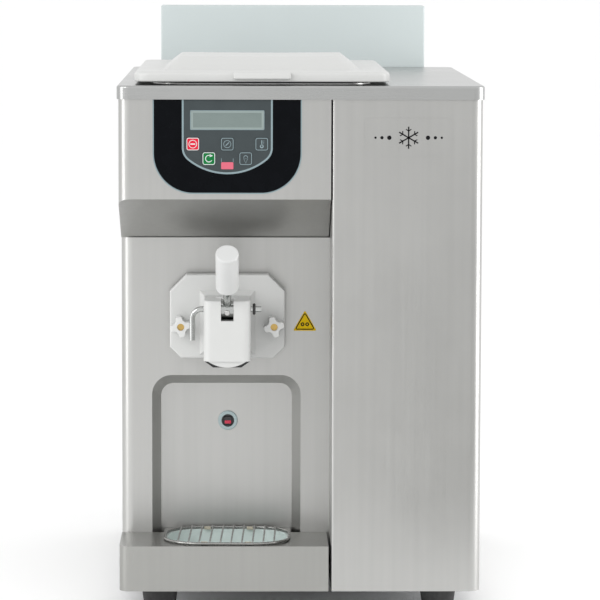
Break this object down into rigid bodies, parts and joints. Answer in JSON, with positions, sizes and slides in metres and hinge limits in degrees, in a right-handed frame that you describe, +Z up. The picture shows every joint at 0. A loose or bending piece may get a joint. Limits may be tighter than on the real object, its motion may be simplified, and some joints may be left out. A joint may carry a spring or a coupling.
{
  "type": "soft serve ice cream machine",
  "caption": "Countertop soft-serve machine: steel body, lidded hopper, dispensing head with lever, keypad, drip tray with oval grid, rear air duct.",
  "frame": {"origin": "on the worktop, under the middle of the machine's bounding box", "axes": "+Z up, front of the machine towards -Y, +X to the right seen from the front"},
  "size_m": [0.4, 0.7134, 0.6615],
  "materials": {
    "panel_steel": "vertical satin brushed stainless sheet",
    "cover_steel": "satin brushed stainless sheet",
    "chimney_metal": "pale satin metal",
    "tray_steel": "horizontal satin brushed stainless sheet",
    "zinc_steel": "zinc plated sheet",
    "foot_rubber": "matt rubber",
    "seal_rubber": "smooth rubber",
    "gasket_silicone": "soft silicone",
    "lid_plastic": "moulded white plastic",
    "head_plastic": "machined white plastic",
    "grip_plastic": "moulded white plastic",
    "knob_plastic": "moulded white plastic",
    "overlay_black": "black membrane film",
    "keypad_grey": "dark grey membrane film",
    "display_glass": "grey green display window",
    "level_lamp": "tinted lamp lens",
    "board_green": "circuit board",
    "key_red": "membrane key",
    "key_green": "membrane key",
    "key_grey": "membrane key",
    "bezel_grey": "pale satin ring",
    "switch_black": "black moulded plastic",
    "rocker_red": "translucent red rocker",
    "chrome_steel": "polished steel",
    "stainless": "plain stainless",
    "brass": "turned brass",
    "foam": "foamed insulation",
    "beater_plastic": "food grade plastic",
    "motor_paint": "grey paint on cast housing",
    "compressor_paint": "black paint",
    "fin_aluminium": "aluminium fins",
    "fan_plastic": "black moulded plastic",
    "copper_pipe": "drawn copper pipe",
    "box_plastic": "grey moulded plastic",
    "gland_plastic": "black nylon",
    "label_yellow": "printed film",
    "badge_dark": "dark anodised plate",
    "pad_beige": "moulded pad"
  },
  "bodies": {
    "chassis": {"base_pan": "zinc_steel", "feet": "foot_rubber", "left_side_panel": "panel_steel", "right_column_panel": "panel_steel", "rear_panel": "panel_steel", "front_panel": "panel_steel", "control_fascia": "panel_steel", "bulkhead": "zinc_steel", "top_cover": "cover_steel", "exhaust_chimney": "chimney_metal", "hopper_tank": "stainless", "hopper_gasket": "gasket_silicone", "feed_tube": "stainless", "control_overlay": "overlay_black", "keypad_plate": "keypad_grey", "display_window": "display_glass", "level_indicator": "level_lamp", "control_board": "board_green", "switch_bezel": "bezel_grey", "switch_body": "switch_black", "head_body": "head_plastic", "head_gasket": "seal_rubber", "nozzle_ring": "switch_black", "pivot_pin": "chrome_steel", "pin_oring": "seal_rubber", "head_studs": "stainless", "freezing_cylinder": "stainless", "cylinder_insulation": "foam", "gear_motor": "motor_paint", "compressor": "compressor_paint", "condenser": "fin_aluminium", "fan_shroud": "fan_plastic", "fan_motor": "motor_paint", "refrigerant_lines": "copper_pipe", "electrical_box": "box_plastic", "cable_gland": "gland_plastic", "warning_label": "label_yellow", "badge": "badge_dark"},
    "hopper_lid": {"hopper_lid": "lid_plastic"},
    "key_stop": {"key_stop": "key_red"},
    "key_clean": {"key_clean": "key_grey"},
    "key_wash": {"key_wash": "key_grey"},
    "key_start": {"key_start": "key_green"},
    "key_portion": {"key_portion": "key_grey"},
    "rocker": {"switch_rocker": "rocker_red"},
    "lever": {"lever": "chrome_steel", "lever_grip": "grip_plastic", "adjusting_screw": "stainless"},
    "piston": {"piston": "grip_plastic", "piston_orings": "seal_rubber"},
    "knob_left": {"star_knob_left": "knob_plastic", "knob_insert_left": "brass"},
    "knob_right": {"star_knob_right": "knob_plastic", "knob_insert_right": "brass"},
    "drip_tray": {"drip_tray": "tray_steel"},
    "drip_grid": {"drip_grid": "chrome_steel", "grid_pads": "pad_beige"},
    "beater": {"beater": "beater_plastic", "drive_shaft": "stainless"},
    "fan": {"fan_blades": "fan_plastic"}
  },
  "joints": [
    {"name": "lid_lift", "type": "slide", "parent": "chassis", "child": "hopper_lid", "axis": [0, 0, 1], "range_m": [0, 0.12]},
    {"name": "key_stop_press", "type": "slide", "parent": "chassis", "child": "key_stop", "axis": [0, 1, 0], "range_m": [0, 0.0004], "stiffness_N_per_m": 600, "springref_m": -0.0002},
    {"name": "key_clean_press", "type": "slide", "parent": "chassis", "child": "key_clean", "axis": [0, 1, 0], "range_m": [0, 0.0004], "stiffness_N_per_m": 600, "springref_m": -0.0002},
    {"name": "key_wash_press", "type": "slide", "parent": "chassis", "child": "key_wash", "axis": [0, 1, 0], "range_m": [0, 0.0004], "stiffness_N_per_m": 600, "springref_m": -0.0002},
    {"name": "key_start_press", "type": "slide", "parent": "chassis", "child": "key_start", "axis": [0, 1, 0], "range_m": [0, 0.0004], "stiffness_N_per_m": 600, "springref_m": -0.0002},
    {"name": "key_portion_press", "type": "slide", "parent": "chassis", "child": "key_portion", "axis": [0, 1, 0], "range_m": [0, 0.0004], "stiffness_N_per_m": 600, "springref_m": -0.0002},
    {"name": "rocker_tip", "type": "hinge", "parent": "chassis", "child": "rocker", "pos_m": [-0.0795, -0.17734, 0.2029], "axis": [1, 0, 0], "range_deg": [-8, 8]},
    {"name": "lever_swing", "type": "hinge", "parent": "chassis", "child": "lever", "pos_m": [-0.0798, -0.28134, 0.34], "axis": [1, 0, 0], "range_deg": [0, 55]},
    {"name": "piston_lift", "type": "slide", "parent": "chassis", "child": "piston", "axis": [0, 0, 1], "range_m": [0, 0.022]},
    {"name": "knob_left_turn", "type": "hinge", "parent": "chassis", "child": "knob_left", "pos_m": [-0.1315, -0.23734, 0.316], "axis": [0, 1, 0], "continuous": true},
    {"name": "knob_right_turn", "type": "hinge", "parent": "chassis", "child": "knob_right", "pos_m": [-0.0281, -0.23734, 0.316], "axis": [0, 1, 0], "continuous": true},
    {"name": "tray_pull", "type": "slide", "parent": "chassis", "child": "drip_tray", "axis": [0, -1, 0], "range_m": [0, 0.13]},
    {"name": "grid_lift", "type": "slide", "parent": "drip_tray", "child": "drip_grid", "axis": [0, 0, 1], "range_m": [0, 0.06]},
    {"name": "beater_spin", "type": "hinge", "parent": "chassis", "child": "beater", "pos_m": [-0.0798, -0.10334, 0.326], "axis": [0, 1, 0], "continuous": true},
    {"name": "fan_spin", "type": "hinge", "parent": "chassis", "child": "fan", "pos_m": [0.11625, 0.19666, 0.222], "axis": [0, 1, 0], "continuous": true}
  ],
  "couplings": [
    {"joint": "piston_lift", "follows": "lever_swing", "m_per_rad": 0.0229}
  ]
}
